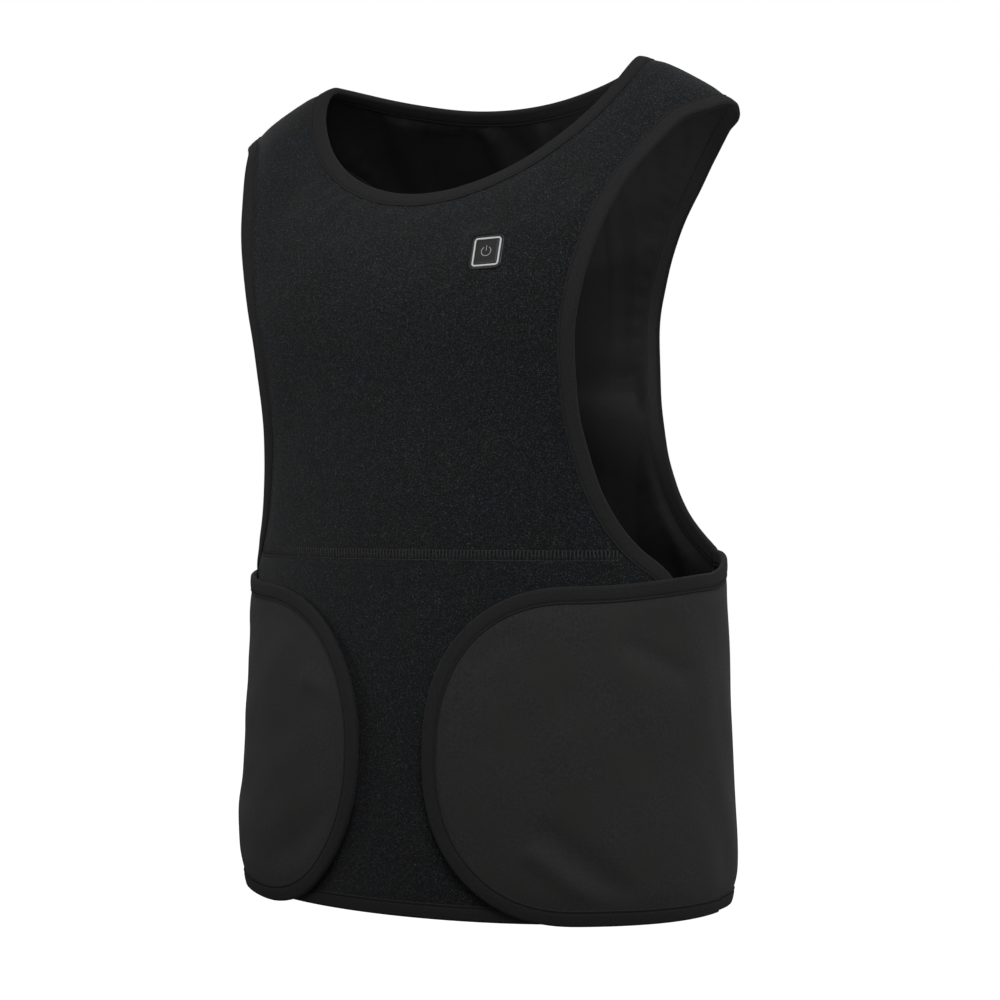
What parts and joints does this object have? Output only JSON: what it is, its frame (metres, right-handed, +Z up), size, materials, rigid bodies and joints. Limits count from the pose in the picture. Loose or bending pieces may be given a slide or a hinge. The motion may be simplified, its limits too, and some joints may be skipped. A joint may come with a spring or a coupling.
{
  "type": "heated vest",
  "caption": "Pull-on heated vest with shoulder straps, a padded front and side wings that wrap from the back and close on the front, with a power button on the chest.",
  "frame": {"origin": "on the middle plane between the shoulders, level with the underside of the straps where they rest on the shoulders", "axes": "+Z up along the wearer, +Y towards the wearer's back, +X towards the wearer's left"},
  "size_m": [0.4128, 0.2497, 0.6145],
  "materials": {
    "brushed_knit": "charcoal heathered brushed knit, matt",
    "softshell": "warm charcoal smooth softshell, matt",
    "lining": "black smooth lining",
    "binding_tape": "black knitted tape with a stitched edge",
    "hook_tape": "black hook tape",
    "black_plastic": "black moulded plastic, satin",
    "white_plastic": "milky white moulded plastic, satin"
  },
  "bodies": {
    "root": {"front_upper_panel": "brushed_knit", "front_lower_panel": "brushed_knit", "back_panel": "brushed_knit", "back_lining": "lining", "left_wing": "softshell", "left_wing_binding": "binding_tape", "left_hook_patch": "hook_tape", "right_wing": "softshell", "right_wing_binding": "binding_tape", "right_hook_patch": "hook_tape", "neck_binding": "binding_tape", "left_armhole_binding": "binding_tape", "right_armhole_binding": "binding_tape", "front_hem_binding": "binding_tape", "back_hem_binding": "binding_tape", "power_button_housing": "black_plastic", "power_button_frame": "white_plastic", "power_button_key": "black_plastic"}
  },
  "joints": []
}
